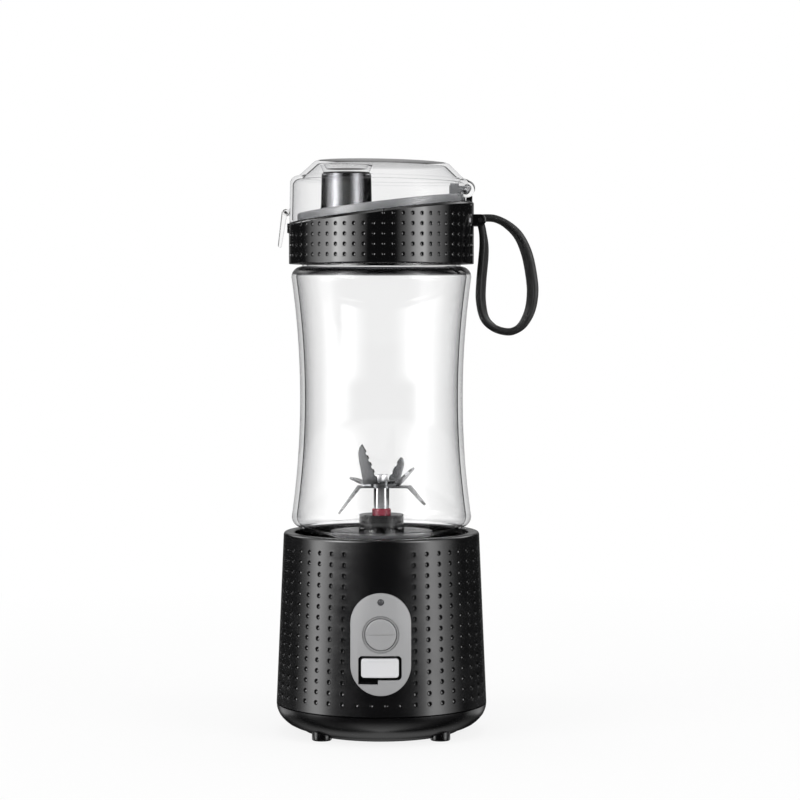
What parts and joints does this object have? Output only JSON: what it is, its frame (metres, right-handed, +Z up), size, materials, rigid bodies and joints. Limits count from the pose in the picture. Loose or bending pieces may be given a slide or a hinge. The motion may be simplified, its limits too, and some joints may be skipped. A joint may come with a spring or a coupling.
{
  "type": "cordless personal blender",
  "caption": "Cordless travel blender: rechargeable motor base with blades, screw-on waisted clear jar and a drinking cap with spout, flip cover, latch and carry strap.",
  "frame": {"origin": "on the blade axis, in the plane that the four rubber feet stand on", "axes": "+Z up along the blade axis; -Y is the front, with the button and the charging port; +X is the side of the cap's hinge and the carry strap"},
  "size_m": [0.1048, 0.084, 0.2276],
  "materials": {
    "black_satin_abs": "satin moulded ABS with a dimple grid",
    "black_gloss_abs": "glossy moulded ABS",
    "black_nylon": "plain moulded nylon",
    "grey_abs": "fine matt",
    "deck_grey_abs": "glossy",
    "port_silicone": "matt silicone",
    "black_silicone": "satin silicone",
    "clear_gasket": "translucent food-grade silicone",
    "red_silicone": "satin silicone",
    "clear_tritan": "clear copolyester",
    "clear_cover": "clear polycarbonate",
    "spout_chrome": "polished metal-coated plastic",
    "blade_steel": "stamped stainless steel",
    "polished_steel": "turned stainless steel",
    "zinc_steel": "zinc-plated",
    "motor_steel": "plated sheet",
    "ferrite": "sintered ferrite",
    "copper": "copper windings on a laminated core",
    "cell_wrap": "shrink-wrapped lithium cell",
    "board_green": "glass-epoxy with solder resist",
    "component_black": "moulded component",
    "nickel": "nickel strip",
    "lead_red": "PVC-insulated wire",
    "led_clear": "clear epoxy"
  },
  "bodies": {
    "base": {"base_housing": "black_satin_abs", "bottom_shell": "black_satin_abs", "rubber_feet": "black_silicone", "bottom_screws": "zinc_steel", "control_panel": "grey_abs", "circuit_board": "board_green", "button_switch": "component_black", "charge_socket": "polished_steel", "indicator_led": "led_clear", "indicator_lens": "led_clear", "battery_cells": "cell_wrap", "battery_tray": "black_nylon", "battery_strips": "nickel", "battery_leads": "lead_red", "motor_leads": "lead_red", "motor_can": "motor_steel", "motor_end_cap": "black_nylon", "motor_magnets": "ferrite", "motor_bracket": "zinc_steel", "motor_screws": "zinc_steel", "bracket_screws": "zinc_steel", "tower_plate": "grey_abs", "pedestal": "black_nylon", "shaft_bearing": "polished_steel", "shaft_seal": "red_silicone"},
    "button": {"power_button": "grey_abs"},
    "port_flap": {"port_cover": "port_silicone"},
    "rotor": {"motor_armature": "copper", "shaft_coupling": "zinc_steel", "drive_shaft": "polished_steel", "lower_blade": "blade_steel", "middle_blade": "blade_steel", "upper_blade": "blade_steel", "blade_nut": "polished_steel"},
    "jar_seat": {"jar_gasket": "clear_gasket"},
    "jar_body": {"jar": "clear_tritan"},
    "cap_seat": {"cap_gasket": "clear_gasket"},
    "cap": {"cap_ring": "black_gloss_abs", "cap_deck": "deck_grey_abs", "spout": "spout_chrome", "hinge_pin": "polished_steel", "strap_pin": "polished_steel"},
    "cover": {"flip_cover": "clear_cover", "plug_seal": "black_silicone", "latch_pin": "polished_steel"},
    "latch_tab": {"latch": "clear_cover"},
    "strap_loop": {"strap": "black_silicone"}
  },
  "joints": [
    {"name": "button_press", "type": "slide", "parent": "base", "child": "button", "axis": [0, 1, 0], "range_m": [0, 0.0005], "stiffness_N_per_m": 1500, "springref_m": -0.0005},
    {"name": "port_cover_hinge", "type": "hinge", "parent": "base", "child": "port_flap", "pos_m": [-0.0003, -0.041, 0.0347], "axis": [-1, 0, 0], "range_deg": [0, 100]},
    {"name": "drive_spin", "type": "hinge", "parent": "base", "child": "rotor", "pos_m": [0, 0, 0], "axis": [0, 0, 1], "continuous": true},
    {"name": "jar_lift", "type": "slide", "parent": "base", "child": "jar_seat", "axis": [0, 0, 1], "range_m": [0, 0.0541]},
    {"name": "jar_twist", "type": "hinge", "parent": "jar_seat", "child": "jar_body", "pos_m": [0, 0, 0], "axis": [0, 0, 1], "range_deg": [0, 972]},
    {"name": "cap_lift", "type": "slide", "parent": "jar_body", "child": "cap_seat", "axis": [0, 0, 1], "range_m": [0, 0.0181]},
    {"name": "cap_twist", "type": "hinge", "parent": "cap_seat", "child": "cap", "pos_m": [0, 0, 0], "axis": [0, 0, 1], "range_deg": [0, 540]},
    {"name": "cover_hinge", "type": "hinge", "parent": "cap", "child": "cover", "pos_m": [0.0339, 0, 0.2162], "axis": [0, 1, 0], "range_deg": [0, 100]},
    {"name": "latch_hinge", "type": "hinge", "parent": "cover", "child": "latch_tab", "pos_m": [-0.0379, 0, 0.2069], "axis": [0, 1, 0], "range_deg": [0, 75]},
    {"name": "strap_swing", "type": "hinge", "parent": "cap", "child": "strap_loop", "pos_m": [0.0392, 0, 0.2039], "axis": [0, -1, 0], "range_deg": [0, 45]}
  ],
  "couplings": [
    {"joint": "jar_lift", "follows": "jar_twist", "m_per_rad": 0.0031831},
    {"joint": "cap_lift", "follows": "cap_twist", "m_per_rad": 0.0019099}
  ]
}
